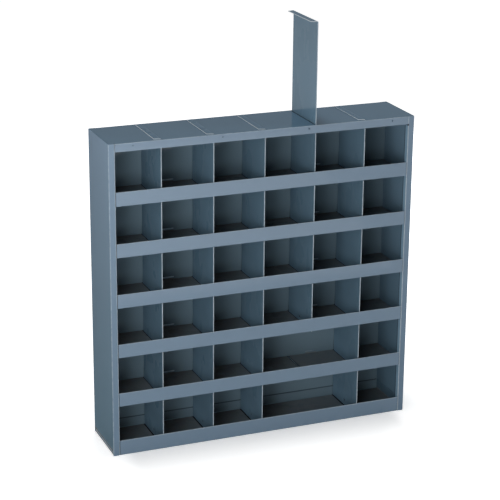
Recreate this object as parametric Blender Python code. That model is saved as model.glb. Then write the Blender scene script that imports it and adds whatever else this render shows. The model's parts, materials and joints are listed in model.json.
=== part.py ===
"""Pigeonhole bin unit: a shallow steel case with six rows of openings, and full-height
dividers that slide up and down in slots in the top panel and the shelves.

Metres, +Z up. The origin is the middle of the footprint, on the floor. The open front
faces -Y, and +X is to the right of someone who stands before it.
"""

import math

import bmesh
import bpy
from mathutils import Matrix, Vector

# Case
CASE_WIDTH = 0.85725
CASE_DEPTH = 0.17145
CASE_HEIGHT = 0.85725
CASE_SHEET = 0.0009
BACK_SHEET = 0.0008
BEND_RADIUS = 0.0009
CORNER_RADIUS = 0.0016
TOUCH_GAP = 0.0003

# Side panels
STILE_WIDTH = 0.018
STILE_RETURN = 0.019
SIDE_REAR_FLANGE = 0.019
SIDE_LIFT = 0.016

# Top panel
TOP_LIP = 0.0217
TOP_SIDE_FLANGE = 0.0127
TOP_REAR_FLANGE = 0.019
LIP_HEM = 0.008
LIP_HOLE_COUNT = 4
LIP_HOLE_INSET = 0.0656
LIP_HOLE_DROP = 0.0077
LIP_HOLE_RADIUS = 0.002

# Bottom pan
PAN_LIP = 0.0422
PAN_SIDE_FLANGE = 0.028
PAN_REAR_FLANGE = 0.0262

# Shelves
ROW_COUNT = 6
BOTTOM_ROW_HEIGHT = 0.140
TOP_ROW_HEIGHT = 0.16525
SHELF_LIP = 0.0381
SHELF_SIDE_FLANGE = 0.0127
TAB_WIDTH = 0.034
TAB_HEIGHT = 0.0082

# Dividers
COLUMN_COUNT = 6
DIVIDER_SHEET = 0.0012
DIVIDER_BEND_RADIUS = 0.0008
DIVIDER_HEM = 0.008
DIVIDER_HEM_RELIEF = 0.003
DIVIDER_SETBACK = 0.004
DIVIDER_REAR_CLEARANCE = 0.0025
DIVIDER_FOOT_CLEARANCE = 0.002
DIVIDER_FLANGE = 0.01905
FRONT_MITRE = 0.0063
REAR_MITRE = 0.004
FINGER_HOLE_RADIUS = 0.0042
FINGER_HOLE_SETBACK = 0.084
FINGER_HOLE_HEIGHT = 0.015
SLOT_SIDE_CLEARANCE = 0.0006
SLOT_END_CLEARANCE = 0.0015

# One divider is drawn up: its foot stands in the slot of the shelf above this many rows
RAISED_DIVIDER = 4
RAISED_ROWS = 2
RAISED_FOOT_ENGAGEMENT = 0.0031

# Modelling
BEND_SEGMENTS = 6
HOLE_SEGMENTS = 24
OVERLAP = 0.004
CUT_MARGIN = 0.001
SMOOTH_ANGLE = math.radians(35)
COORDINATE_DIGITS = 6

# Finish: one grey-blue enamel, a little unlike from sheet to sheet
TOP_COLOUR = (0.165, 0.230, 0.300)
SIDE_COLOUR = (0.160, 0.222, 0.292)
SHELF_COLOUR = (0.172, 0.238, 0.312)
DIVIDER_COLOUR = (0.150, 0.212, 0.280)
BACK_COLOUR = (0.140, 0.196, 0.258)
PAINT_ROUGHNESS = 0.32

# Places that several pieces share
LEFT = -CASE_WIDTH / 2
FRONT = -CASE_DEPTH / 2
REAR = CASE_DEPTH / 2
BEND_DEPTH = CASE_SHEET + BEND_RADIUS
TRAY_LEFT = LEFT + CASE_SHEET + TOUCH_GAP
STILE_EDGE = LEFT + STILE_WIDTH
LIP_LEFT = STILE_EDGE + TOUCH_GAP
BEHIND_CORNER = FRONT + CASE_SHEET + CORNER_RADIUS + TOUCH_GAP
BEHIND_STILE = FRONT + STILE_RETURN + TOUCH_GAP
BACK_PANEL_REAR = REAR - CASE_SHEET - TOUCH_GAP
BACK_PANEL_FRONT = BACK_PANEL_REAR - BACK_SHEET
TRAY_REAR = BACK_PANEL_FRONT - TOUCH_GAP
UNDER_TOP = CASE_HEIGHT - CASE_SHEET - TOUCH_GAP
SHELF_COUNT = ROW_COUNT - 1
SHELF_PITCH = (CASE_HEIGHT - BOTTOM_ROW_HEIGHT - TOP_ROW_HEIGHT) / (SHELF_COUNT - 1)
DIVIDER_COUNT = COLUMN_COUNT - 1
COLUMN_WIDTH = CASE_WIDTH / COLUMN_COUNT
DIVIDER_FRONT = FRONT + DIVIDER_SETBACK
DIVIDER_REAR = TRAY_REAR - CASE_SHEET - DIVIDER_REAR_CLEARANCE
DIVIDER_FOOT = CASE_SHEET + DIVIDER_FOOT_CLEARANCE
DIVIDER_TOP = CASE_HEIGHT + TOUCH_GAP + DIVIDER_SHEET


def shelf_height(number):
    """The underside of a shelf. Shelf 1 is the lowest."""
    return BOTTOM_ROW_HEIGHT + (number - 1) * SHELF_PITCH


def divider_place(number):
    """The middle of a divider's sheet. Divider 1 is the leftmost."""
    return LEFT + number * COLUMN_WIDTH


def clear_scene():
    for obj in list(bpy.data.objects):
        bpy.data.objects.remove(obj, do_unlink=True)


# Outlines of folded sheet


def left_of(direction):
    """The direction a quarter turn to the left of another."""
    return Vector((-direction.y, direction.x))


def bend(corner, before, after, sheet, inner_radius):
    """The arcs of one bend on the sheet's right-hand and left-hand faces."""
    turn = math.atan2(before.cross(after), before.dot(after))
    side = math.copysign(1.0, turn)
    right_radius = inner_radius + sheet if turn > 0 else inner_radius
    left_radius = inner_radius if turn > 0 else inner_radius + sheet
    setback = right_radius * math.tan(abs(turn) / 2)
    centre = corner - before * setback + left_of(before) * right_radius * side
    right, left = [], []
    for step in range(BEND_SEGMENTS + 1):
        spoke = Matrix.Rotation(turn * step / BEND_SEGMENTS, 2) @ left_of(before) * -side
        right.append(centre + spoke * right_radius)
        left.append(centre + spoke * left_radius)
    return right, left


def closed_hem(end, direction, fold, sheet, length):
    """The rounded edge of a closed hem, from the plain face of the sheet to the step where
    the folded leg stops. fold points from the plain face to the leg."""
    centre = end - direction * sheet + fold * sheet
    angles = [math.pi * step / (2 * BEND_SEGMENTS) for step in range(2 * BEND_SEGMENTS + 1)]
    edge = [centre + (direction * math.sin(a) - fold * math.cos(a)) * sheet for a in angles]
    leg_end = end - direction * length
    return edge + [leg_end + fold * 2 * sheet, leg_end + fold * sheet]


def folded_sheet(corners, sheet, inner_radii, hem=0.0, hem_inside=False):
    """The closed outline of a sheet folded along corners, which lie on its right-hand face.
    inner_radii has one radius for each bend. hem is the length of a closed hem at the last
    corner. Its leg lies against the left-hand face, or the right-hand one if hem_inside."""
    points = [Vector(corner) for corner in corners]
    first = (points[1] - points[0]).normalized()
    right = [points[0]]
    left = [points[0] + left_of(first) * sheet]
    for index, radius in enumerate(inner_radii, start=1):
        before = (points[index] - points[index - 1]).normalized()
        after = (points[index + 1] - points[index]).normalized()
        right_arc, left_arc = bend(points[index], before, after, sheet, radius)
        right += right_arc
        left += left_arc
    last = (points[-1] - points[-2]).normalized()
    right_end = points[-1]
    left_end = right_end + left_of(last) * sheet
    if hem and hem_inside:
        edge = closed_hem(left_end, last, -left_of(last), sheet, hem)[::-1]
    elif hem:
        edge = closed_hem(right_end, last, left_of(last), sheet, hem)
    else:
        edge = [right_end, left_end]
    return right + edge + left[::-1]


def rectangle(low_a, high_a, low_b, high_b):
    return [(low_a, low_b), (high_a, low_b), (high_a, high_b), (low_a, high_b)]


def circle(centre_a, centre_b, radius):
    angles = [2 * math.pi * step / HOLE_SEGMENTS for step in range(HOLE_SEGMENTS)]
    return [(centre_a + radius * math.cos(a), centre_b + radius * math.sin(a)) for a in angles]


# Solids


def prism(outline, axis, low, high):
    """A closed outline and its extrusion. The outline is (y, z), (x, z) or (x, y) for the
    axis X, Y or Z, and it is extruded along that axis."""
    return [tuple(point) for point in outline], axis, low, high


def in_both_halves(outline, axis, low, high):
    """A prism and its mirror image on the other side of the middle."""
    if axis == "X":
        return [prism(outline, axis, low, high), prism(outline, axis, -high, -low)]
    mirrored = [(-point[0], point[1]) for point in outline]
    return [prism(outline, axis, low, high), prism(mirrored, axis, low, high)]


def prism_mesh(prisms):
    """One mesh of prisms that stay clear of each other. Coordinates are rounded, so that
    faces that are meant to lie in one plane do."""
    work = bmesh.new()
    for outline, axis, low, high in prisms:
        rings = []
        for along in (low, high):
            places = []
            for a, b in outline:
                place = {"X": (along, a, b), "Y": (a, along, b), "Z": (a, b, along)}[axis]
                places.append([round(value, COORDINATE_DIGITS) for value in place])
            rings.append([work.verts.new(place) for place in places])
        near, far = rings
        work.faces.new(near)
        work.faces.new(far)
        for index in range(len(near)):
            work.faces.new((near[index - 1], near[index], far[index], far[index - 1]))
    bmesh.ops.recalc_face_normals(work, faces=work.faces)
    mesh = bpy.data.meshes.new("prisms")
    work.to_mesh(mesh)
    work.free()
    return mesh


def combined(body, prisms, operation):
    """A mesh with prisms added to it (UNION) or cut from it (DIFFERENCE)."""
    base = bpy.data.objects.new("base", body)
    tool = bpy.data.objects.new("tool", prism_mesh(prisms))
    for obj in (base, tool):
        bpy.context.scene.collection.objects.link(obj)
    modifier = base.modifiers.new("combine", "BOOLEAN")
    modifier.object = tool
    modifier.operation = operation
    modifier.solver = "EXACT"
    graph = bpy.context.evaluated_depsgraph_get()
    result = bpy.data.meshes.new_from_object(base.evaluated_get(graph))
    for obj in (base, tool):
        bpy.data.objects.remove(obj, do_unlink=True)
    return result


def mirrored_copy(mesh):
    """The other-handed twin of a mesh."""
    work = bmesh.new()
    work.from_mesh(mesh)
    bmesh.ops.scale(work, verts=work.verts, vec=(-1.0, 1.0, 1.0))
    bmesh.ops.reverse_faces(work, faces=work.faces)
    twin = bpy.data.meshes.new(mesh.name)
    work.to_mesh(twin)
    work.free()
    return twin


# Folds and cuts that several pieces share


def tray_floor(top, front, flange_end):
    """A sheet from side to side, as a prism, with a flange along each side. top is its
    upper face, and flange_end is the height that its flanges reach."""
    right = -TRAY_LEFT
    under = top - CASE_SHEET
    if flange_end < top:
        corners = [(right, flange_end), (right, top), (-right, top), (-right, flange_end)]
    else:
        corners = [(-right, flange_end), (-right, under), (right, under), (right, flange_end)]
    return prism(folded_sheet(corners, CASE_SHEET, [BEND_RADIUS] * 2), "Y", front, TRAY_REAR)


def upright_lip(floor_top, lip_top, floor_rear):
    """A lip that stands at the front edge between the stiles, with its hem behind it, and
    the strip of floor that it is folded from."""
    inner_face = FRONT + CASE_SHEET
    corners = [(floor_rear, floor_top), (inner_face, floor_top), (inner_face, lip_top)]
    outline = folded_sheet(corners, CASE_SHEET, [BEND_RADIUS], hem=LIP_HEM, hem_inside=True)
    return prism(outline, "X", LIP_LEFT, -LIP_LEFT)


def upright_rear_flange(floor_top, flange_top, left, right):
    """A flange that stands against the back panel, and the strip that it is folded from."""
    inner_face = TRAY_REAR - CASE_SHEET
    floor_front = inner_face - BEND_DEPTH - OVERLAP
    corners = [(inner_face, flange_top), (inner_face, floor_top), (floor_front, floor_top)]
    return prism(folded_sheet(corners, CASE_SHEET, [BEND_RADIUS]), "X", left, right)


def divider_slots(low, high):
    """The slots that the dividers run in, each wider at the front for the divider's hem."""
    half = DIVIDER_SHEET / 2 + SLOT_SIDE_CLEARANCE
    front = DIVIDER_FRONT - SLOT_END_CLEARANCE
    step = DIVIDER_FRONT + DIVIDER_HEM + SLOT_END_CLEARANCE
    rear = DIVIDER_REAR + SLOT_END_CLEARANCE
    prisms = []
    for number in range(1, DIVIDER_COUNT + 1):
        middle = divider_place(number)
        hem_side = middle - half - DIVIDER_SHEET
        outline = [
            (hem_side, front),
            (middle + half, front),
            (middle + half, rear),
            (middle - half, rear),
            (middle - half, step),
            (hem_side, step),
        ]
        prisms.append(prism(outline, "Z", low, high))
    return prisms


# Pieces


def side_panel():
    """The left side: the stile with its return, the web and the rear flange are one sheet.
    The web stops short of the floor, where the bottom pan's side flange shows."""
    corners = [
        (LEFT + SIDE_REAR_FLANGE, REAR),
        (LEFT, REAR),
        (LEFT, FRONT),
        (STILE_EDGE, FRONT),
        (STILE_EDGE, FRONT + STILE_RETURN),
    ]
    outline = folded_sheet(corners, CASE_SHEET, [BEND_RADIUS, CORNER_RADIUS, BEND_RADIUS])
    body = prism_mesh([prism(outline, "Z", 0.0, CASE_HEIGHT)])
    web_foot = rectangle(
        LEFT - CUT_MARGIN, LEFT + CASE_SHEET + CUT_MARGIN, BEHIND_CORNER, REAR - BEND_DEPTH - TOUCH_GAP
    )
    return_head = rectangle(
        STILE_EDGE - BEND_DEPTH - TOUCH_GAP,
        STILE_EDGE + CUT_MARGIN,
        FRONT + CASE_SHEET,
        FRONT + STILE_RETURN + CUT_MARGIN,
    )
    cuts = [
        prism(web_foot, "Z", -CUT_MARGIN, SIDE_LIFT),
        prism(return_head, "Z", UNDER_TOP, CASE_HEIGHT + CUT_MARGIN),
    ]
    return combined(body, cuts, "DIFFERENCE")


def top_panel():
    """The top: a slotted sheet with a hemmed front lip, side flanges and a rear flange."""
    behind_face = FRONT + CASE_SHEET + TOUCH_GAP
    flange_end = CASE_HEIGHT - TOP_SIDE_FLANGE
    body = prism_mesh([tray_floor(CASE_HEIGHT, behind_face, flange_end)])
    chamfer = [
        (TRAY_LEFT - CUT_MARGIN, behind_face - CUT_MARGIN),
        (TRAY_LEFT + CORNER_RADIUS + CUT_MARGIN, behind_face - CUT_MARGIN),
        (TRAY_LEFT - CUT_MARGIN, behind_face + CORNER_RADIUS + CUT_MARGIN),
    ]
    room_for_lip = rectangle(STILE_EDGE, -STILE_EDGE, behind_face - CUT_MARGIN, BEHIND_CORNER)
    cuts = in_both_halves(chamfer, "Z", flange_end - CUT_MARGIN, CASE_HEIGHT + CUT_MARGIN)
    cuts.append(prism(room_for_lip, "Z", flange_end, CASE_HEIGHT + CUT_MARGIN))
    body = combined(body, cuts, "DIFFERENCE")
    lip_corners = [
        (BEHIND_CORNER + OVERLAP, CASE_HEIGHT),
        (FRONT, CASE_HEIGHT),
        (FRONT, CASE_HEIGHT - TOP_LIP),
    ]
    lip = folded_sheet(lip_corners, CASE_SHEET, [BEND_RADIUS], hem=LIP_HEM)
    rear_corners = [
        (REAR, CASE_HEIGHT - TOP_REAR_FLANGE),
        (REAR, CASE_HEIGHT),
        (TRAY_REAR - OVERLAP, CASE_HEIGHT),
    ]
    rear = folded_sheet(rear_corners, CASE_SHEET, [BEND_RADIUS])
    rear_left = LEFT + SIDE_REAR_FLANGE + TOUCH_GAP
    folds = [prism(lip, "X", LIP_LEFT, -LIP_LEFT), prism(rear, "X", rear_left, -rear_left)]
    body = combined(body, folds, "UNION")
    cuts = divider_slots(CASE_HEIGHT - CASE_SHEET - CUT_MARGIN, CASE_HEIGHT + CUT_MARGIN)
    hole_pitch = (CASE_WIDTH - 2 * LIP_HOLE_INSET) / (LIP_HOLE_COUNT - 1)
    for index in range(LIP_HOLE_COUNT):
        middle = LEFT + LIP_HOLE_INSET + index * hole_pitch
        hole = circle(middle, CASE_HEIGHT - LIP_HOLE_DROP, LIP_HOLE_RADIUS)
        cuts.append(prism(hole, "Y", FRONT - CUT_MARGIN, FRONT + CASE_SHEET + CUT_MARGIN / 2))
    return combined(body, cuts, "DIFFERENCE")


def bottom_pan():
    """The floor of the case, with a hemmed front rail, a rear flange that shows above the
    floor, and side flanges that stand inside the side panels."""
    floor_top = CASE_SHEET
    body = prism_mesh([tray_floor(floor_top, BEHIND_CORNER, PAN_SIDE_FLANGE)])
    notch_left = STILE_EDGE - BEND_DEPTH - TOUCH_GAP
    notch = rectangle(notch_left, LIP_LEFT, BEHIND_CORNER - CUT_MARGIN, BEHIND_STILE)
    notches = in_both_halves(notch, "Z", -CUT_MARGIN, floor_top + CUT_MARGIN)
    body = combined(body, notches, "DIFFERENCE")
    flange_left = TRAY_LEFT + CASE_SHEET + TOUCH_GAP
    folds = [
        upright_lip(floor_top, PAN_LIP, BEHIND_STILE + OVERLAP),
        upright_rear_flange(floor_top, PAN_REAR_FLANGE, flange_left, -flange_left),
    ]
    return combined(body, folds, "UNION")


def back_panel():
    """A flat sheet inside the rear flanges of the side panels and the top."""
    right = CASE_WIDTH / 2 - BEND_DEPTH
    outline = rectangle(-right, right, 0.0, UNDER_TOP)
    return prism_mesh([prism(outline, "Y", BACK_PANEL_FRONT, BACK_PANEL_REAR)])


def shelf():
    """A slotted shelf with a hemmed front lip, side flanges below, and two rear tabs that
    stand against the back panel. Its underside is at height 0."""
    floor_top = CASE_SHEET
    flange_end = floor_top - SHELF_SIDE_FLANGE
    body = prism_mesh([tray_floor(floor_top, BEHIND_STILE, flange_end)])
    folds = [upright_lip(floor_top, SHELF_LIP, BEHIND_STILE + OVERLAP)]
    tab_middle = divider_place(COLUMN_COUNT - 1) - COLUMN_WIDTH / 2
    for middle in (-tab_middle, tab_middle):
        left = middle - TAB_WIDTH / 2
        folds.append(upright_rear_flange(floor_top, TAB_HEIGHT, left, left + TAB_WIDTH))
    body = combined(body, folds, "UNION")
    return combined(body, divider_slots(-CUT_MARGIN, floor_top + CUT_MARGIN), "DIFFERENCE")


def divider():
    """A divider: a sheet with a hemmed front edge and a flange at its head that rests on
    the top panel. Its middle is at x = 0, and it is seated."""
    half = DIVIDER_SHEET / 2
    sheet_front = DIVIDER_FRONT + DIVIDER_SHEET
    flange_edge = half - DIVIDER_FLANGE
    corners = [(half, DIVIDER_FOOT), (half, DIVIDER_TOP), (flange_edge, DIVIDER_TOP)]
    outline = folded_sheet(corners, DIVIDER_SHEET, [DIVIDER_BEND_RADIUS])
    body = prism_mesh([prism(outline, "Y", sheet_front, DIVIDER_REAR)])
    forward = Vector((0.0, -1.0))
    nose = closed_hem(
        Vector((half, DIVIDER_FRONT)), forward, Vector((-1.0, 0.0)), DIVIDER_SHEET, DIVIDER_HEM
    )
    hem = nose[:-1] + [Vector((0.0, DIVIDER_FRONT + DIVIDER_HEM)), Vector((0.0, sheet_front + half))]
    hem_top = DIVIDER_TOP - DIVIDER_SHEET - DIVIDER_HEM_RELIEF
    body = combined(body, [prism(hem, "Z", DIVIDER_FOOT, hem_top)], "UNION")
    bend_edge = -half - DIVIDER_BEND_RADIUS
    flange_foot = DIVIDER_TOP - DIVIDER_SHEET - CUT_MARGIN / 2
    front_mitre = mitre((bend_edge, sheet_front), (flange_edge, sheet_front + FRONT_MITRE))
    rear_mitre = mitre((bend_edge, DIVIDER_REAR), (flange_edge, DIVIDER_REAR - REAR_MITRE))
    hole_place = DIVIDER_FRONT + FINGER_HOLE_SETBACK
    hole = circle(hole_place, DIVIDER_FOOT + FINGER_HOLE_HEIGHT, FINGER_HOLE_RADIUS)
    cuts = [
        prism(front_mitre, "Z", flange_foot, DIVIDER_TOP + CUT_MARGIN),
        prism(rear_mitre, "Z", flange_foot, DIVIDER_TOP + CUT_MARGIN),
        prism(hole, "X", -DIVIDER_SHEET, DIVIDER_SHEET),
    ]
    return combined(body, cuts, "DIFFERENCE")


def mitre(inner, outer):
    """A triangle that cuts a corner off along the line from inner to outer."""
    inner, outer = Vector(inner), Vector(outer)
    reach = (outer - inner).normalized() * CUT_MARGIN
    start, end = inner - reach, outer + reach
    return [start, end, Vector((end.x, start.y))]


# Assembly


def enamel(name, colour):
    """Baked enamel on sheet steel."""
    material = bpy.data.materials.new(name)
    material.use_nodes = True
    shader = material.node_tree.nodes["Principled BSDF"]
    shader.inputs["Base Color"].default_value = (*colour, 1.0)
    shader.inputs["Roughness"].default_value = PAINT_ROUGHNESS
    shader.inputs["Metallic"].default_value = 0.0
    return material


def add_node(name, mesh, colour, location=(0.0, 0.0, 0.0)):
    node = bpy.data.objects.new(name, mesh)
    node.location = location
    if not mesh.materials:
        mesh.materials.append(enamel(name + "_enamel", colour))
        mesh.shade_smooth()
        mesh.set_sharp_from_angle(angle=SMOOTH_ANGLE)
    bpy.context.scene.collection.objects.link(node)


def main():
    clear_scene()
    left_side = side_panel()
    add_node("left_side_panel", left_side, SIDE_COLOUR)
    add_node("right_side_panel", mirrored_copy(left_side), SIDE_COLOUR)
    add_node("top_panel", top_panel(), TOP_COLOUR)
    add_node("bottom_pan", bottom_pan(), SHELF_COLOUR)
    add_node("back_panel", back_panel(), BACK_COLOUR)
    shelf_mesh = shelf()
    for number in range(1, SHELF_COUNT + 1):
        add_node(f"shelf_{number}", shelf_mesh, SHELF_COLOUR, (0.0, 0.0, shelf_height(number)))
    raised_foot = shelf_height(RAISED_ROWS) - RAISED_FOOT_ENGAGEMENT
    divider_mesh = divider()
    for number in range(1, DIVIDER_COUNT + 1):
        lift = raised_foot - DIVIDER_FOOT if number == RAISED_DIVIDER else 0.0
        add_node(f"divider_{number}", divider_mesh, DIVIDER_COLOUR, (divider_place(number), 0.0, lift))


main()
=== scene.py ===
"""The pigeonhole bin unit on a white studio floor: camera, light, floor and enamel finish.

Metres, +Z up. The open front of the unit faces -Y, and +X is to its right.
"""

import json
import math

import bpy
from mathutils import Euler, Matrix, Vector

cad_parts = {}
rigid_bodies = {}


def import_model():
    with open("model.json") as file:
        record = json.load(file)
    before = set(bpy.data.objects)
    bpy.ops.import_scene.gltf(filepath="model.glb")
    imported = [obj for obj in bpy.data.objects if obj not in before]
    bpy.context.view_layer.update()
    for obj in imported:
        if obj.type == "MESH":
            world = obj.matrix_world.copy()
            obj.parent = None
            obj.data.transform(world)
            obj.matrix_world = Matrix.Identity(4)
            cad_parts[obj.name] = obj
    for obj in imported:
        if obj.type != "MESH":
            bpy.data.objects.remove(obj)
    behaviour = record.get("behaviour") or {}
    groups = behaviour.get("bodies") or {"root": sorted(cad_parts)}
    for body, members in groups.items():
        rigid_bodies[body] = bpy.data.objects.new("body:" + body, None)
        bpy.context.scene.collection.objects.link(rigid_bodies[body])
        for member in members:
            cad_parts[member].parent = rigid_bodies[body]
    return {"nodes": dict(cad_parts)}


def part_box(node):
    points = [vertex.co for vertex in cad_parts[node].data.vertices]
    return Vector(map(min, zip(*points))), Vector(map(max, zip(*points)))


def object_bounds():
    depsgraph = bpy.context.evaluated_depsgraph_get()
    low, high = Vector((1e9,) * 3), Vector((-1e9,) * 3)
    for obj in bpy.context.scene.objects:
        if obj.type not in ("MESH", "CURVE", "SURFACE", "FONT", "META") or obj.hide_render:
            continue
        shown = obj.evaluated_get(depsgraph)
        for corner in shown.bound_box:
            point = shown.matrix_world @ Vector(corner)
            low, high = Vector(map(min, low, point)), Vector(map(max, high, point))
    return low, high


for leftover in list(bpy.data.objects):
    bpy.data.objects.remove(leftover, do_unlink=True)

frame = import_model()
cad_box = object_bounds()

# Camera
CAMERA_PLACE = Vector((-1.6586, -4.0887, 2.002))
CAMERA_YAW = math.radians(21.98)
CAMERA_PITCH = math.radians(18.78)
CAMERA_ROLL = math.radians(0.51)
SENSOR_WIDTH = 36.0
FOCAL_LENGTH = 124.4

# Floor: its disc, how it returns light, and the glow that lenses and mirrored rays see, weaker near the
# case and reaching further out in front and behind than at the sides: a painted shadow
FLOOR_RADIUS = 9.0
FLOOR_SEGMENTS = 96
FLOOR_ALBEDO = 0.92
FLOOR_BOUNCE = 0.80
FLOOR_GLOW_NEAR = 0.24
FLOOR_GLOW_OPEN = 0.50
FLOOR_GLOW_REACH = 0.16
FLOOR_GLOW_RISE = 0.45
FLOOR_GLOW_END = 2.5
SHADE_HALF_WIDTH = 0.37
SHADE_SIDEWAYS = 4.0

# Room: the soft light from all round, and what mirrored rays see of the backdrop and over it
AMBIENT_STRENGTH = 0.05
BACKDROP_STRENGTH = 1.0
OVERHEAD_STRENGTH = 0.34
BACKDROP_EDGE_LOW = 0.06
BACKDROP_EDGE_HIGH = 0.2

# Area lights: name, place, aim, size, power, and whether mirrored rays see it
LIGHTS = (
    ("over_light", (-0.3, 0.325, 5.0), (-0.3, 0.325, 0.0), (0.8, 0.82), 67.0, False),
    ("rear_light", (0.0, 0.8, 2.4), (0.0, 0.0, 0.5), (0.7, 0.7), 7.6, False),
    ("far_left_light", (-2.25, -2.68, 0.9), (0.0, 0.0, 0.6), (1.3, 1.3), 35.3, True),
    ("front_light", (-1.31, -3.245, 1.2), (0.0, 0.0, 0.6), (1.3, 1.3), 19.2, True),
    ("near_left_light", (-0.631, -0.901, 1.0), (0.0, 0.0, 0.6), (0.7, 0.7), 1.9, True),
    ("left_light", (-1.034, -0.376, 1.1), (0.0, 0.0, 0.6), (0.7, 0.7), 2.2, True),
    ("far_right_light", (1.739, -0.466, 1.4), (0.0, 0.0, 0.6), (0.7, 0.7), 10.5, True),
    ("rear_right_light", (2.4, 2.2, 0.9), (0.0, 0.0, 0.6), (1.2, 1.2), 30.0, False),
    ("low_light", (-0.3, -1.634, 0.133), (-0.3, -1.334, 1.103), (2.5, 0.9), 7.6, True),
)

# Enamel: the colour, coat and specular level of each kind of piece. The one enamel gets a lighter or
# darker colour on each kind of piece, partly as painted light and shade
FINISHES_AND_SHADES = {
    "top_panel": ((0.079, 0.139, 0.198), 0.50, 0.0),
    "left_side_panel": ((0.118, 0.200, 0.260), 0.06, 0.0),
    "right_side_panel": ((0.110, 0.186, 0.250), 0.06, 0.0),
    "bottom_pan": ((0.100, 0.174, 0.236), 0.35, 0.01),
    "back_panel": ((0.130, 0.189, 0.229), 0.30, 0.01),
    "shelf": ((0.100, 0.174, 0.236), 0.35, 0.01),
    "divider": ((0.124, 0.208, 0.280), 0.25, 0.01),
}
BACK_COLOUR = FINISHES_AND_SHADES["back_panel"][0]
TOP_COLOUR = FINISHES_AND_SHADES["top_panel"][0]

# Painted light on the front and the sides: the front darker at the foot and lighter at the top with a
# painted sheen, and the sides lighter upwards
FRONT_LOW_SHADE = (0.142, 0.208, 0.280)
FRONT_HIGH_SHEEN = (0.176, 0.242, 0.316)
SIDE_LIT_TOPS = {
    "left_side_panel": (0.190, 0.265, 0.348),
    "right_side_panel": (0.156, 0.248, 0.329),
}

# Colours of wear with painted highlights, of painted highlights on edges, near black for painted shade
# in holes, slots, seams, gaps and corners and for darkening the dividers, and of the grime film under
# painted shadow and light
RUBBED_AND_HIGHLIT_ENAMEL = (0.300, 0.360, 0.410)
EDGE_HIGHLIGHT = (0.560, 0.620, 0.660)
NEAR_BLACK = (0.012, 0.014, 0.016)
GRIME_SHADOWED = (0.074, 0.067, 0.060)
GRIME_LIT = (0.208, 0.226, 0.234)

# Unevenness of the enamel: clouds and mottle in its colour, smudges in its gloss, wear with painted
# highlights on its edges, and the peel and waves of its surface
CLOUD_SCALE = 3.5
CLOUD_DETAIL = 3.0
CLOUD_SPAN = (0.3, 0.7)
CLOUD_DEPTH = 0.02
MOTTLE_SCALE = 55.0
MOTTLE_SPAN = (0.35, 0.65)
MOTTLE_DEPTH = 0.03
MOTTLE_LIGHT = 1.25
SMUDGE_SCALE = 14.0
SMUDGE_DETAIL = 3.0
SMUDGE_SPAN = (0.3, 0.7)
SMUDGE_STRETCH = (1.0, 1.0, 0.5)
SMOOTHEST = 0.225
ROUGHEST = 0.42
COAT_ROUGHNESS = 0.04
WEAR_SCALE = 70.0
WEAR_DETAIL = 4.0
WEAR_ROUGHNESS = 0.65
WEAR_SPAN = (0.36, 0.58)
WEAR_LEAST = 0.35
WEAR_DEPTH = 0.75
SURFACE_DETAIL = 1.0
PEEL_SCALE = 420.0
PEEL_HEIGHT = 0.000003
WAVE_SCALE = 5.0
WAVE_HEIGHT = 0.00015

# Rubbed edges with painted highlights: how far the wear and the highlight reach from a plain edge, from
# the folds of the stiles and of the pan's rail, from a shelf's tab, and from the bend of a divider's
# flange, and the painted highlight on a divider's nose. A span is a pair of places between which a mask
# changes, counted from an edge or a face of the piece.
EDGE_REACH = 0.0018
FOLD_REACH = 0.0027
TAB_EDGE_REACH = 0.0036
BEND_REACH = 0.0054
NOSE_SPAN = (0.0006, 0.0018)
NOSE_HIGHLIGHT = 0.35

# Measures of the case, and the depth of the sheet that shows in front
CASE_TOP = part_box("top_panel")[1].z
FRONT_PLANE = cad_box[0].y
REAR_PLANE = cad_box[1].y
LEFT_PLANE = cad_box[0].x
STILE_WIDTH = 0.018
STILE_INNER_EDGE = cad_box[1].x - STILE_WIDTH
STILE_RETURN = 0.019
TOP_LIP = 0.0217
SHELF_LIP = 0.0381
TAB_HEIGHT = 0.0082
PAN_LIP = 0.0422
PAN_REAR_FLANGE = 0.0262
SLOT_PITCH = 0.142875
ROW_PITCH = 0.138
FIRST_ROW = 0.002
RAISED_PLACE = SLOT_PITCH
WIDE_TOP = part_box("divider_4")[0].z
FRONT_SKIN = (0.0008, 0.0016)

# Slots: the painted shade line along each, on the trays and on the top sheet, and how far the line on
# the pan keeps clear of the raised divider's place
SLOT_LINE = (0.00238, 0.0034)
TOP_SLOT_SHIFT = 0.0017
TOP_SLOT_LINE = (0.0017, 0.00238)
SLOTTED_HALF = 2.5 * SLOT_PITCH
SLOTTED_END = (0.0, SLOT_PITCH / 10)
RAISED_CLEAR = (0.0068, 0.0102)

# Trays: the upper face of a shelf or of the pan, the film of grime on it under a painted shadow of the
# left divider, which reaches further to the right towards the rear, with painted light past it, and the
# painted shade of the seams at the ends of its lip
TRAY_WALL = (0.002, 0.006)
TRAY_FRONT = (0.002, 0.006)
TRAY_UNDERSIDE = (0.0002, 0.0006)
TRAY_FLAT = (0.0014, 0.002)
FILM_SPAN = (0.1, 0.7)
FILM_LEAST = 0.75
TRAY_SHADOW_LEAN = 0.75
TRAY_SHADOW_SPAN = (-0.25, 0.6)
SEAM_LINE = (0.0008, 0.0016)
SEAM_DEPTH = 0.6

# Pan: its rear flange, painted as the back sheet with its painted shade and light, and the painted shade
# at the foot of its side flanges
PAN_FLANGE_FRONT = (-0.0025, -0.002)
PAN_FLANGE_REAR = (-0.0004, -0.0002)
PAN_SIDE_SKIN = 0.0005
PAN_SIDE_SPAN = (0.0, 0.0003)
FOOT_LINE = (0.0096, 0.012)

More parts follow.
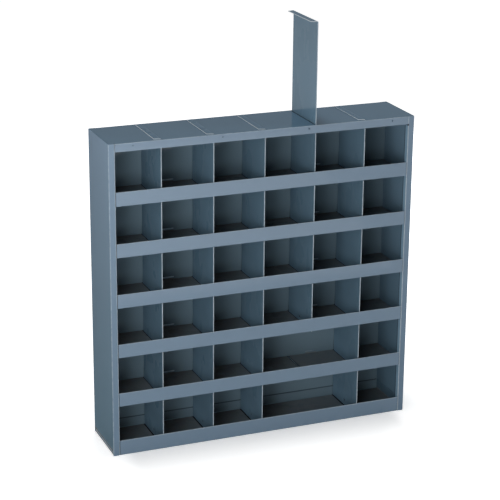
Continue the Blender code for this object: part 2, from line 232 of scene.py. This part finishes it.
# Back sheet: its inner face, the painted shade in the low left corners of the compartments and the
# painted light to their right, as shares of their size, and the painted shadow line over the pan's rear
# flange
BACK_SKIN = (0.0002, 0.0005)
CORNER_HEIGHT = (0.0, 0.32)
CORNER_WIDTH = (0.3, 0.95)
CORNER_SHADE = 0.8
BACK_LIT_WIDTH = (0.6, 1.0)
BACK_LIT_SHARE = 0.5
BACK_LIT_FACTOR = 1.4
SHADOW_FOOT = (-0.001, 0.0)
SHADOW_TOP = (0.002, 0.004)

# Dividers: darker towards the front, lighter low at the rear, and the top
# flange with its mitred front end and painted highlights on its edges
INSIDE_CASE = (-0.002, 0.0)
DARKER_FRONT_SPAN = (0.0, 0.6)
DARKER_FOOT_SPAN = (0.0, 0.25)
DARKER_FRONT_SHARE = 0.19
LIGHTER_FOOT_SPAN = (0.1, 0.5)
LIGHTER_REAR_SPAN = (0.15, 0.5)
LIGHTER_REAR_SHARE = 0.9
LIGHTER_REAR_FACTOR = 1.25
FLANGE_DEPTH = 0.0014
FLANGE_SKIN = (-0.0014, -0.00112)
FLANGE_BEND = 0.002
FLANGE_SIDE_LINE = (0.0006, 0.0009)
MITRE_SLOPE = 0.37
MITRE_LINE = (0.00036, 0.0009)
MITRE_START = (0.0, 0.0009)

# Top sheet: its upper face, and the painted shade inside the small holes in its lip
TOP_SKIN = (-0.0005, -0.0002)
BEHIND_TOP_LIP = (0.006, 0.008)
LIP_HOLE_COUNT = 4
LIP_HOLE_INSET = 0.0656
LIP_HOLE_DROP = 0.0077
LIP_HOLE_SHADE = 0.0044
LIP_HOLE_WALL = (0.0001, 0.0003)

# Side panels: painted light on the return behind the stile with painted shade on its rear edge, a
# painted highlight on the stile's inner edge, and painted shade of the gap at the top lip's right end
RETURN_SKIN = (0.0012, 0.0018)
RETURN_PAINTED_LIGHT = 1.2
RETURN_REAR_EDGE = (-0.004, -0.0025)
RETURN_EDGE_SHADE = 0.85
STILE_EDGE_HIGHLIGHT = 0.25
GAP_SHADE_DROP = 0.0015
GAP_SHADE_REACH = 0.0035


class Nodes:
    """Short ways to add shader nodes to one tree."""

    def __init__(self, tree):
        self.tree = tree

    def add(self, kind, **settings):
        node = self.tree.nodes.new(kind)
        for name, value in settings.items():
            setattr(node, name, value)
        return node

    def feed(self, socket, value):
        if isinstance(value, bpy.types.NodeSocket):
            self.tree.links.new(value, socket)
        else:
            socket.default_value = value

    def math(self, operation, *values, clamp=False):
        node = self.add("ShaderNodeMath", operation=operation, use_clamp=clamp)
        for socket, value in zip(node.inputs, values):
            self.feed(socket, value)
        return node.outputs[0]

    def ramp(self, value, low, high, out_low=0.0, out_high=1.0, smooth=True):
        node = self.add("ShaderNodeMapRange")
        node.interpolation_type = "SMOOTHSTEP" if smooth else "LINEAR"
        for name, number in zip(("Value", "From Min", "From Max", "To Min", "To Max"),
                                (value, low, high, out_low, out_high)):
            self.feed(node.inputs[name], number)
        return node.outputs["Result"]

    def rise(self, value, span, base=0.0, top=1.0):
        """0 before a span counted from the base, and the top value past it."""
        return self.ramp(value, base + span[0], base + span[1], 0.0, top)

    def fall(self, value, span, base=0.0, top=1.0, smooth=True):
        """The top value before a span counted from the base, and 0 past it."""
        return self.ramp(value, base + span[0], base + span[1], top, 0.0, smooth)

    def product(self, first, *others):
        for other in others:
            first = self.math("MULTIPLY", first, other)
        return first

    def largest(self, first, *others):
        for other in others:
            first = self.math("MAXIMUM", first, other)
        return first

    def outside(self, value, half):
        """How far a value lies outside of -half to half."""
        past = self.math("SUBTRACT", self.math("ABSOLUTE", value), half)
        return self.math("MAXIMUM", past, 0.0)

    def length(self, first, second):
        squares = [self.math("MULTIPLY", side, side) for side in (first, second)]
        return self.math("SQRT", self.math("ADD", *squares))

    def near_line(self, axes, line, reach):
        """1 on the edge that runs along a line, 0 further off than the reach. The line is
        given by its place on two axes."""
        offsets = [self.math("SUBTRACT", axis, value) for axis, value in zip(axes, line)]
        return self.fall(self.length(*offsets), (reach / 2, reach))

    def mix(self, share, first, second):
        """A colour between two others."""
        node = self.add("ShaderNodeMix", data_type="RGBA")
        self.feed(node.inputs["Factor"], share)
        for name, value in (("A", first), ("B", second)):
            socket = next(i for i in node.inputs if i.name == name and i.type == "RGBA")
            self.feed(socket, value if isinstance(value, bpy.types.NodeSocket) else (*value, 1.0))
        return next(o for o in node.outputs if o.type == "RGBA")

    def stretched(self, coordinates, factors):
        node = self.add("ShaderNodeVectorMath", operation="MULTIPLY")
        self.feed(node.inputs[0], coordinates)
        node.inputs[1].default_value = factors
        return node.outputs["Vector"]

    def noise(self, coordinates, scale, detail=2.0, roughness=0.5):
        node = self.add("ShaderNodeTexNoise")
        self.feed(node.inputs["Vector"], coordinates)
        node.inputs["Scale"].default_value = scale
        node.inputs["Detail"].default_value = detail
        node.inputs["Roughness"].default_value = roughness
        return node.outputs["Fac"]

    def object_place(self):
        """The place on the object, whole and as its x, y and z."""
        place = self.add("ShaderNodeTexCoord").outputs["Object"]
        split = self.add("ShaderNodeSeparateXYZ")
        self.feed(split.inputs[0], place)
        return place, *split.outputs

    def seen_directly(self):
        """1 for rays from the lens and for mirrored or transmitted rays, 0 for diffuse light."""
        path = self.add("ShaderNodeLightPath")
        direct = self.math("ADD", path.outputs["Is Camera Ray"], path.outputs["Is Glossy Ray"])
        return self.math("ADD", direct, path.outputs["Is Transmission Ray"], clamp=True)


def build_camera():
    data = bpy.data.cameras.new("camera")
    data.sensor_width = SENSOR_WIDTH
    data.lens = FOCAL_LENGTH
    camera = bpy.data.objects.new("camera", data)
    aim = Euler((math.pi / 2 - CAMERA_PITCH, 0.0, -CAMERA_YAW)).to_matrix().to_4x4()
    roll = Matrix.Rotation(CAMERA_ROLL, 4, "Z")
    camera.matrix_world = Matrix.Translation(CAMERA_PLACE) @ aim @ roll
    bpy.context.scene.collection.objects.link(camera)
    bpy.context.scene.camera = camera


def build_world():
    """Soft light from all round. Rays from the lens see white. Mirrored rays see the white
    backdrop up to a little above the horizon, and the dimmer room over it."""
    world = bpy.data.worlds.new("studio")
    bpy.context.scene.world = world
    world.use_nodes = True
    tree = world.node_tree
    tree.nodes.clear()
    nodes = Nodes(tree)
    path = nodes.add("ShaderNodeLightPath")
    way = nodes.add("ShaderNodeSeparateXYZ")
    nodes.feed(way.inputs[0], nodes.add("ShaderNodeTexCoord").outputs["Generated"])
    mirrored = nodes.ramp(way.outputs["Z"], BACKDROP_EDGE_LOW, BACKDROP_EDGE_HIGH,
                          BACKDROP_STRENGTH, OVERHEAD_STRENGTH)
    seen = nodes.ramp(path.outputs["Is Camera Ray"], 0.0, 1.0, mirrored, 1.0, smooth=False)
    strength = nodes.ramp(nodes.seen_directly(), 0.0, 1.0, AMBIENT_STRENGTH, seen, smooth=False)
    background = nodes.add("ShaderNodeBackground")
    background.inputs["Color"].default_value = (1.0, 1.0, 1.0, 1.0)
    nodes.feed(background.inputs["Strength"], strength)
    output = nodes.add("ShaderNodeOutputWorld")
    nodes.feed(output.inputs["Surface"], background.outputs[0])


def floor_material():
    """Pale and matt. The lens and mirrored rays see it glow towards white, the more the further it lies
    from the case.
    The weaker glow near the case is a painted shadow that deepens the cast one where the case stands."""
    material = bpy.data.materials.new("floor")
    material.use_nodes = True
    tree = material.node_tree
    tree.nodes.clear()
    nodes = Nodes(tree)
    _, x, y, _ = nodes.object_place()
    past_side = nodes.outside(x, SHADE_HALF_WIDTH)
    past_front = nodes.outside(y, -FRONT_PLANE)
    distance = nodes.length(nodes.math("MULTIPLY", past_side, SHADE_SIDEWAYS), past_front)
    near = nodes.ramp(distance, 0.0, FLOOR_GLOW_REACH, FLOOR_GLOW_NEAR, FLOOR_GLOW_OPEN, smooth=False)
    far = nodes.ramp(distance, FLOOR_GLOW_REACH, FLOOR_GLOW_END, 0.0, FLOOR_GLOW_RISE, smooth=False)
    glow = nodes.math("ADD", near, far)
    emission = nodes.add("ShaderNodeEmission")
    nodes.feed(emission.inputs["Strength"], nodes.product(glow, nodes.seen_directly()))
    diffuse = nodes.add("ShaderNodeBsdfDiffuse")
    shade = nodes.ramp(nodes.seen_directly(), 0.0, 1.0, FLOOR_BOUNCE, FLOOR_ALBEDO, smooth=False)
    nodes.feed(diffuse.inputs["Color"], shade)
    both = nodes.add("ShaderNodeAddShader")
    nodes.feed(both.inputs[0], diffuse.outputs[0])
    nodes.feed(both.inputs[1], emission.outputs[0])
    output = nodes.add("ShaderNodeOutputMaterial")
    nodes.feed(output.inputs["Surface"], both.outputs[0])
    return material


def build_floor():
    mesh = bpy.data.meshes.new("floor")
    ring = [
        (FLOOR_RADIUS * math.cos(2 * math.pi * step / FLOOR_SEGMENTS),
         FLOOR_RADIUS * math.sin(2 * math.pi * step / FLOOR_SEGMENTS), 0.0)
        for step in range(FLOOR_SEGMENTS)
    ]
    mesh.from_pydata(ring, [], [list(range(FLOOR_SEGMENTS))])
    floor = bpy.data.objects.new("floor", mesh)
    bpy.context.scene.collection.objects.link(floor)
    mesh.materials.append(floor_material())


def area_light(name, place, target, size, power, mirrored):
    data = bpy.data.lights.new(name, "AREA")
    data.shape = "RECTANGLE"
    data.size, data.size_y = size
    data.energy = power
    light = bpy.data.objects.new(name, data)
    light.location = place
    light.visible_camera = False
    light.visible_glossy = mirrored
    light.rotation_euler = (Vector(target) - Vector(place)).to_track_quat("-Z", "Y").to_euler()
    bpy.context.scene.collection.objects.link(light)


def scaled(colour, factor):
    return [channel * factor for channel in colour]


class Piece:
    """One piece of the unit, with the paint laid on it so far, layer over layer."""

    def __init__(self, name):
        self.name = name
        self.kind = name.rstrip("_0123456789")
        self.low, self.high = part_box(name)
        self.colour, self.coat, self.specular = FINISHES_AND_SHADES[self.kind]
        self.material = bpy.data.materials.new(name + "_enamel")
        self.material.use_nodes = True
        self.shader = self.material.node_tree.nodes["Principled BSDF"]
        self.nodes = Nodes(self.material.node_tree)
        self.place, self.x, self.y, self.z = self.nodes.object_place()
        self.mottle = self.nodes.noise(self.place, MOTTLE_SCALE)
        self.height = self.nodes.ramp(self.z, 0.0, CASE_TOP, smooth=False)
        self.front_face = self.nodes.fall(self.y, FRONT_SKIN, FRONT_PLANE)
        clouds = self.nodes.noise(self.place, CLOUD_SCALE, CLOUD_DETAIL)
        self.paint = self.nodes.mix(self.nodes.rise(clouds, CLOUD_SPAN),
                                    scaled(self.colour, 1 - CLOUD_DEPTH),
                                    scaled(self.colour, 1 + CLOUD_DEPTH))

    def lay(self, mask, colour):
        """Lay a colour on where the mask is 1."""
        self.paint = self.nodes.mix(mask, self.paint, colour)

    def from_stile_edge(self):
        """How far a place lies to the outer side of the stiles' inner edges."""
        return self.nodes.math("SUBTRACT", self.nodes.math("ABSOLUTE", self.x), STILE_INNER_EDGE)


def compartment_shares(piece):
    """How far a place lies across, behind and above the front left lower corner of its
    compartment, as shares of the compartment. The wide compartments count on to 2 across."""
    nodes = piece.nodes
    from_left = nodes.math("SUBTRACT", piece.x, LEFT_PLANE)
    across = nodes.math("FRACT", nodes.math("DIVIDE", from_left, SLOT_PITCH))
    second = nodes.product(nodes.math("COMPARE", piece.x, RAISED_PLACE + SLOT_PITCH / 2, SLOT_PITCH / 2),
                           nodes.math("LESS_THAN", piece.z, WIDE_TOP))
    behind = nodes.ramp(piece.y, FRONT_PLANE, REAR_PLANE, smooth=False)
    from_first = nodes.math("SUBTRACT", piece.z, FIRST_ROW)
    above = nodes.math("FRACT", nodes.math("DIVIDE", from_first, ROW_PITCH))
    return nodes.math("ADD", across, second), behind, above


def slot_lines(piece, shift, span):
    """1 along the five slots that the dividers stand in, moved to the left by the shift."""
    nodes = piece.nodes
    from_slot = nodes.math("PINGPONG", nodes.math("ADD", piece.x, shift), SLOT_PITCH / 2)
    slotted = nodes.fall(nodes.outside(piece.x, SLOTTED_HALF), SLOTTED_END)
    return nodes.product(nodes.fall(from_slot, span), slotted)


def paint_side_light(piece):
    """Painted light on a side panel: lighter upwards. The return behind its stile gets painted light,
    with painted shade on its rear edge.
    """
    nodes = piece.nodes
    lit_top = SIDE_LIT_TOPS[piece.name]
    piece.lay(piece.height, lit_top)
    from_return = nodes.math("ABSOLUTE", piece.from_stile_edge())
    strip = nodes.product(nodes.fall(from_return, RETURN_SKIN),
                          nodes.rise(piece.y, FRONT_SKIN, FRONT_PLANE))
    piece.lay(strip, scaled(lit_top, RETURN_PAINTED_LIGHT))
    rear_edge = nodes.rise(piece.y, RETURN_REAR_EDGE, FRONT_PLANE + STILE_RETURN, RETURN_EDGE_SHADE)
    piece.lay(nodes.product(strip, rear_edge), NEAR_BLACK)


def grime_and_shade_tray(piece):
    """Grime on the floor of a shelf or of the pan, under a painted shadow of the left divider that is
    darkest in the left rear corners, with painted light past it, a line of painted shade along each
    slot, and painted shade at both ends of the lip. No slot line shows under the raised divider on the
    pan."""
    nodes = piece.nodes
    floor_top = piece.high.z - (SHELF_LIP if piece.kind == "shelf" else PAN_LIP)
    tray = nodes.product(nodes.fall(piece.z, TRAY_WALL, floor_top),
                         nodes.rise(piece.y, TRAY_FRONT, FRONT_PLANE),
                         nodes.rise(piece.z, TRAY_UNDERSIDE, floor_top))
    film = nodes.product(tray, nodes.ramp(piece.mottle, *FILM_SPAN, FILM_LEAST, 1.0))
    # Painted shadow of the left divider over the grime film, and painted light past it
    across, behind, _ = compartment_shares(piece)
    from_corner = nodes.math("SUBTRACT", across, nodes.math("MULTIPLY", behind, TRAY_SHADOW_LEAN))
    piece.lay(film, nodes.mix(nodes.rise(from_corner, TRAY_SHADOW_SPAN), GRIME_SHADOWED, GRIME_LIT))

    # Painted shade along the slots
    lines = nodes.product(tray, nodes.fall(piece.z, TRAY_FLAT, floor_top),
                          slot_lines(piece, 0.0, SLOT_LINE))
    if piece.kind == "bottom_pan":
        from_raised = nodes.math("ABSOLUTE", nodes.math("SUBTRACT", piece.x, RAISED_PLACE))
        lines = nodes.product(lines, nodes.rise(from_raised, RAISED_CLEAR))
    piece.lay(lines, NEAR_BLACK)

    # Painted shade in the seams at the lip's ends
    from_end = nodes.math("SUBTRACT", STILE_INNER_EDGE, nodes.math("ABSOLUTE", piece.x))
    seam = nodes.product(piece.front_face, nodes.fall(from_end, SEAM_LINE, top=SEAM_DEPTH))
    piece.lay(seam, NEAR_BLACK)


def shaded_back(piece, colour):
    """The back of the compartments: painted shade in the low left corners, painted light to the right.
    """
    nodes = piece.nodes
    across, _, above = compartment_shares(piece)
    corner = nodes.product(nodes.fall(above, CORNER_HEIGHT),
                           nodes.fall(across, CORNER_WIDTH, top=CORNER_SHADE))
    lighter = nodes.rise(across, BACK_LIT_WIDTH, top=BACK_LIT_SHARE)
    return nodes.mix(lighter, nodes.mix(corner, colour, NEAR_BLACK), scaled(BACK_COLOUR, BACK_LIT_FACTOR))


def shade_pan_flanges(piece):
    """The pan's rear flange is painted as the back sheet over it, with its painted shade and light. Its
    side flanges get painted shade where the side panels hang over them."""
    nodes = piece.nodes
    inward = nodes.fall(piece.y, PAN_FLANGE_REAR, piece.high.y)
    rear = nodes.mix(inward, BACK_COLOUR, shaded_back(piece, BACK_COLOUR))
    piece.lay(nodes.rise(piece.y, PAN_FLANGE_FRONT, piece.high.y), rear)
    # Painted shade of the recess under the side panels
    outer = nodes.rise(nodes.outside(piece.x, piece.high.x - PAN_SIDE_SKIN), PAN_SIDE_SPAN)
    piece.lay(nodes.product(outer, nodes.rise(piece.z, FOOT_LINE)), NEAR_BLACK)


def shade_back_panel(piece):
    """Painted shade and light on the inner face of the back sheet, and a painted shadow line over the
    pan's rear flange.
    """
    nodes = piece.nodes
    piece.lay(nodes.fall(piece.y, BACK_SKIN, piece.low.y), shaded_back(piece, piece.paint))
    flange_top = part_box("bottom_pan")[1].z - PAN_LIP + PAN_REAR_FLANGE
    shadow = nodes.product(nodes.rise(piece.z, SHADOW_FOOT, flange_top),
                           nodes.fall(piece.z, SHADOW_TOP, flange_top, SEAM_DEPTH))
    piece.lay(shadow, NEAR_BLACK)


def tone_divider(piece):
    """Inside the case a divider is darker towards its front, except low in each compartment, and
    lighter low at its rear."""
    nodes = piece.nodes
    _, behind, above = compartment_shares(piece)
    inside = nodes.fall(piece.z, INSIDE_CASE, CASE_TOP)
    darker = nodes.product(inside, nodes.fall(behind, DARKER_FRONT_SPAN, top=DARKER_FRONT_SHARE, smooth=False),
                            nodes.rise(above, DARKER_FOOT_SPAN))
    piece.lay(darker, NEAR_BLACK)
    lighter = nodes.product(inside, nodes.fall(above, LIGHTER_FOOT_SPAN, top=LIGHTER_REAR_SHARE),
                          nodes.rise(behind, LIGHTER_REAR_SPAN))
    piece.lay(lighter, scaled(piece.colour, LIGHTER_REAR_FACTOR))


def rubbed_and_highlit_edges(piece):
    """Masks of the free edges and the bends where the enamel is worn and where highlights are painted.
    """
    nodes, low, high = piece.nodes, piece.low, piece.high
    along_x = (piece.y, piece.z)
    along_z = (piece.x, piece.y)
    if piece.kind == "divider":
        return [
            nodes.fall(piece.y, NOSE_SPAN, low.y),
            nodes.near_line(along_x, (low.y, high.z), BEND_REACH),
        ]
    if piece.kind == "bottom_pan":
        return [nodes.near_line(along_x, (low.y, high.z), FOLD_REACH)]
    if piece.kind == "shelf":
        tab_top = high.z - SHELF_LIP + TAB_HEIGHT
        return [
            nodes.near_line(along_x, (low.y, high.z), EDGE_REACH),
            nodes.near_line(along_x, (high.y, tab_top), TAB_EDGE_REACH),
        ]
    if piece.kind == "top_panel":
        return [
            nodes.near_line(along_x, (low.y, high.z), EDGE_REACH),
            nodes.near_line(along_x, (high.y, high.z), EDGE_REACH),
        ]
    if piece.kind == "back_panel":
        return [nodes.fall(piece.z, (0.0, EDGE_REACH), low.z)]
    outer, inner = (low.x, low.x + STILE_WIDTH) if low.x < 0 else (high.x, high.x - STILE_WIDTH)
    return [
        nodes.near_line(along_z, (outer, low.y), FOLD_REACH),
        nodes.near_line(along_z, (inner, low.y), FOLD_REACH),
        nodes.near_line(along_z, (outer, high.y), EDGE_REACH),
    ]


def rub_and_highlight_edges(piece):
    nodes = piece.nodes
    grain = nodes.noise(piece.place, WEAR_SCALE, WEAR_DETAIL, WEAR_ROUGHNESS)
    breaks = nodes.ramp(grain, *WEAR_SPAN, WEAR_LEAST, 1.0)
    worn_or_highlit = nodes.largest(*rubbed_and_highlit_edges(piece))
    # Wear on the edges, with painted highlights on the bends, the tabs and the noses
    piece.lay(nodes.product(worn_or_highlit, breaks, WEAR_DEPTH), RUBBED_AND_HIGHLIT_ENAMEL)


def highlight_flange(piece):
    """A divider's top flange matches the top sheet. Its cut edges, partly bare, and the divider's nose
    get a painted highlight."""
    nodes = piece.nodes
    flange = nodes.rise(piece.z, FLANGE_SKIN, piece.high.z)
    piece.lay(flange, TOP_COLOUR)
    side_edge = nodes.fall(piece.x, FLANGE_SIDE_LINE, piece.low.x)
    past_bend = nodes.math("SUBTRACT", piece.high.x - FLANGE_BEND, piece.x)
    mitre = nodes.math("MULTIPLY_ADD", past_bend, MITRE_SLOPE, piece.low.y + FLANGE_DEPTH)
    behind_mitre = nodes.math("SUBTRACT", piece.y, mitre)
    front_edge = nodes.product(nodes.fall(behind_mitre, MITRE_LINE), flange,
                               nodes.rise(past_bend, MITRE_START))
    nose = nodes.fall(piece.y, NOSE_SPAN, piece.low.y, NOSE_HIGHLIGHT)
    # Painted highlights on the flange's cut edges and on the divider's nose
    piece.lay(nodes.largest(side_edge, front_edge, nose), EDGE_HIGHLIGHT)


def shade_top(piece):
    """Painted shade lines along the slots of the top sheet, and painted shade inside its lip's holes."""
    nodes, low, high = piece.nodes, piece.low, piece.high
    lines = nodes.product(slot_lines(piece, TOP_SLOT_SHIFT, TOP_SLOT_LINE),
                          nodes.rise(piece.z, TOP_SKIN, high.z),
                          nodes.rise(piece.y, BEHIND_TOP_LIP, FRONT_PLANE))
    piece.lay(lines, NEAR_BLACK)
    hole_pitch = (high.x - low.x - 2 * LIP_HOLE_INSET) / (LIP_HOLE_COUNT - 1)
    for index in range(LIP_HOLE_COUNT):
        middle = low.x + LIP_HOLE_INSET + index * hole_pitch
        hole = nodes.near_line((piece.x, piece.z), (middle, high.z - LIP_HOLE_DROP), LIP_HOLE_SHADE)
        piece.lay(nodes.product(hole, nodes.rise(piece.y, LIP_HOLE_WALL, FRONT_PLANE)), NEAR_BLACK)


def light_and_shade_stile(piece):
    """The inner edge of a stile gets a painted highlight. The right one gets painted shade of the gap
    below the top lip.
    """
    nodes = piece.nodes
    from_edge = piece.from_stile_edge()
    highlight = nodes.near_line((from_edge, piece.y), (0.0, piece.low.y), FOLD_REACH)
    piece.lay(nodes.product(highlight, STILE_EDGE_HIGHLIGHT), EDGE_HIGHLIGHT)
    if piece.kind == "right_side_panel":
        gap_shade = (0.0, CASE_TOP - TOP_LIP - GAP_SHADE_DROP)
        piece.lay(nodes.near_line((from_edge, piece.z), gap_shade, GAP_SHADE_REACH), NEAR_BLACK)


def finish_surface(piece):
    """The paint's gloss with its smudges, its clear coat, a fine orange peel, and slow waves
    in the sheet."""
    nodes, inputs = piece.nodes, piece.shader.inputs
    nodes.feed(inputs["Base Color"], piece.paint)
    smudges = nodes.noise(nodes.stretched(piece.place, SMUDGE_STRETCH), SMUDGE_SCALE, SMUDGE_DETAIL)
    nodes.feed(inputs["Roughness"], nodes.ramp(smudges, *SMUDGE_SPAN, SMOOTHEST, ROUGHEST))
    inputs["Specular IOR Level"].default_value = piece.specular
    inputs["Coat Weight"].default_value = piece.coat
    inputs["Coat Roughness"].default_value = COAT_ROUGHNESS
    peel = nodes.math("MULTIPLY", nodes.noise(piece.place, PEEL_SCALE, SURFACE_DETAIL), PEEL_HEIGHT)
    waves = nodes.math("MULTIPLY", nodes.noise(piece.place, WAVE_SCALE, SURFACE_DETAIL), WAVE_HEIGHT)
    bump = nodes.add("ShaderNodeBump")
    bump.inputs["Strength"].default_value = 1.0
    bump.inputs["Distance"].default_value = 1.0
    nodes.feed(bump.inputs["Height"], nodes.math("ADD", peel, waves))
    nodes.feed(inputs["Normal"], bump.outputs["Normal"])
    nodes.feed(inputs["Coat Normal"], bump.outputs["Normal"])


def enamel(name):
    """Baked enamel on sheet steel: uneven in colour and gloss, with painted light and a painted sheen on
    the front and sides, worn edges with painted highlights, grime, and painted shade."""
    piece = Piece(name)
    if name in SIDE_LIT_TOPS:
        paint_side_light(piece)
    # Painted light on the front face: darker at the foot, lighter with a painted sheen at the top
    piece.lay(piece.front_face, piece.nodes.mix(piece.height, FRONT_LOW_SHADE, FRONT_HIGH_SHEEN))
    if piece.kind in ("shelf", "bottom_pan"):
        grime_and_shade_tray(piece)
    if piece.kind == "bottom_pan":
        shade_pan_flanges(piece)
    if piece.kind == "back_panel":
        shade_back_panel(piece)
    mottled = piece.nodes.rise(piece.mottle, MOTTLE_SPAN, top=MOTTLE_DEPTH)
    piece.lay(mottled, scaled(piece.colour, MOTTLE_LIGHT))
    if piece.kind == "divider":
        tone_divider(piece)
    rub_and_highlight_edges(piece)
    if piece.kind == "divider":
        highlight_flange(piece)
    if piece.kind == "top_panel":
        shade_top(piece)
    if name in SIDE_LIT_TOPS:
        light_and_shade_stile(piece)
    finish_surface(piece)
    return piece.material


build_camera()
build_world()
build_floor()
for light in LIGHTS:
    area_light(*light)
for node_name, node in frame["nodes"].items():
    finish = enamel(node_name)
    for slot in node.material_slots:
        slot.material = finish

bpy.context.scene.view_settings.view_transform = "Standard"
